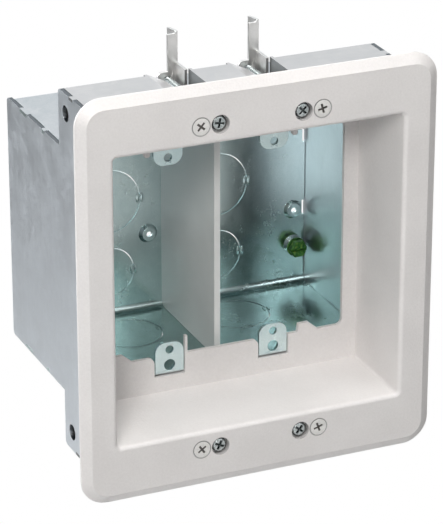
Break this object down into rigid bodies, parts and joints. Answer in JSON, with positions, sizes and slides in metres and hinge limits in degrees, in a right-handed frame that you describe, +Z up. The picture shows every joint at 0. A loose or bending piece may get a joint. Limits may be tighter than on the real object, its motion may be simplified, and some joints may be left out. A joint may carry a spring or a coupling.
{
  "type": "recessed switch box",
  "caption": "Recessed steel switch box for two devices, with a white trim flange, a partition and clamping wings that swing up and pull forward behind a wallboard.",
  "frame": {"origin": "middle of the trim flange's back face, which lies on the wall's surface", "axes": "+Y into the wall, +Z up, +X to the right as seen from the room"},
  "size_m": [0.1522, 0.1054, 0.178],
  "materials": {
    "trim_plastic": "fine leather-like texture",
    "divider_plastic": "smooth",
    "galvanised_steel": "galvanised, faint spangle",
    "wing_steel": "galvanised",
    "zinc_screw": "zinc plated",
    "white_screw": "painted white",
    "green_screw": "green dyed zinc"
  },
  "bodies": {
    "box": {"trim_plate": "trim_plastic", "rear_shell": "galvanised_steel", "top_channel_plate": "galvanised_steel", "bottom_channel_plate": "galvanised_steel", "left_side_plate": "galvanised_steel", "right_side_plate": "galvanised_steel", "divider": "divider_plastic", "ground_screw": "green_screw", "trim_screw_top_left": "white_screw", "trim_screw_top_right": "white_screw", "trim_screw_bottom_left": "white_screw", "trim_screw_bottom_right": "white_screw"},
    "top_left_screw": {"wing_screw_top_left": "zinc_screw"},
    "top_left_wing": {"wing_top_left": "wing_steel"},
    "top_right_screw": {"wing_screw_top_right": "zinc_screw"},
    "top_right_wing": {"wing_top_right": "wing_steel"},
    "bottom_left_screw": {"wing_screw_bottom_left": "zinc_screw"},
    "bottom_left_wing": {"wing_bottom_left": "wing_steel"},
    "bottom_right_screw": {"wing_screw_bottom_right": "zinc_screw"},
    "bottom_right_wing": {"wing_bottom_right": "wing_steel"}
  },
  "joints": [
    {"name": "top_left_swing", "type": "hinge", "parent": "box", "child": "top_left_screw", "pos_m": [-0.0175, 0, 0.0684], "axis": [0, 1, 0], "range_deg": [-90, 0]},
    {"name": "top_left_travel", "type": "slide", "parent": "top_left_screw", "child": "top_left_wing", "axis": [0, -1, 0], "range_m": [0, 0.038]},
    {"name": "top_right_swing", "type": "hinge", "parent": "box", "child": "top_right_screw", "pos_m": [0.0175, 0, 0.0684], "axis": [0, 1, 0], "range_deg": [-90, 0]},
    {"name": "top_right_travel", "type": "slide", "parent": "top_right_screw", "child": "top_right_wing", "axis": [0, -1, 0], "range_m": [0, 0.038]},
    {"name": "bottom_left_swing", "type": "hinge", "parent": "box", "child": "bottom_left_screw", "pos_m": [-0.0175, 0, -0.0684], "axis": [0, 1, 0], "range_deg": [-90, 0]},
    {"name": "bottom_left_travel", "type": "slide", "parent": "bottom_left_screw", "child": "bottom_left_wing", "axis": [0, -1, 0], "range_m": [0, 0.038]},
    {"name": "bottom_right_swing", "type": "hinge", "parent": "box", "child": "bottom_right_screw", "pos_m": [0.0175, 0, -0.0684], "axis": [0, 1, 0], "range_deg": [-90, 0]},
    {"name": "bottom_right_travel", "type": "slide", "parent": "bottom_right_screw", "child": "bottom_right_wing", "axis": [0, -1, 0], "range_m": [0, 0.038]}
  ]
}
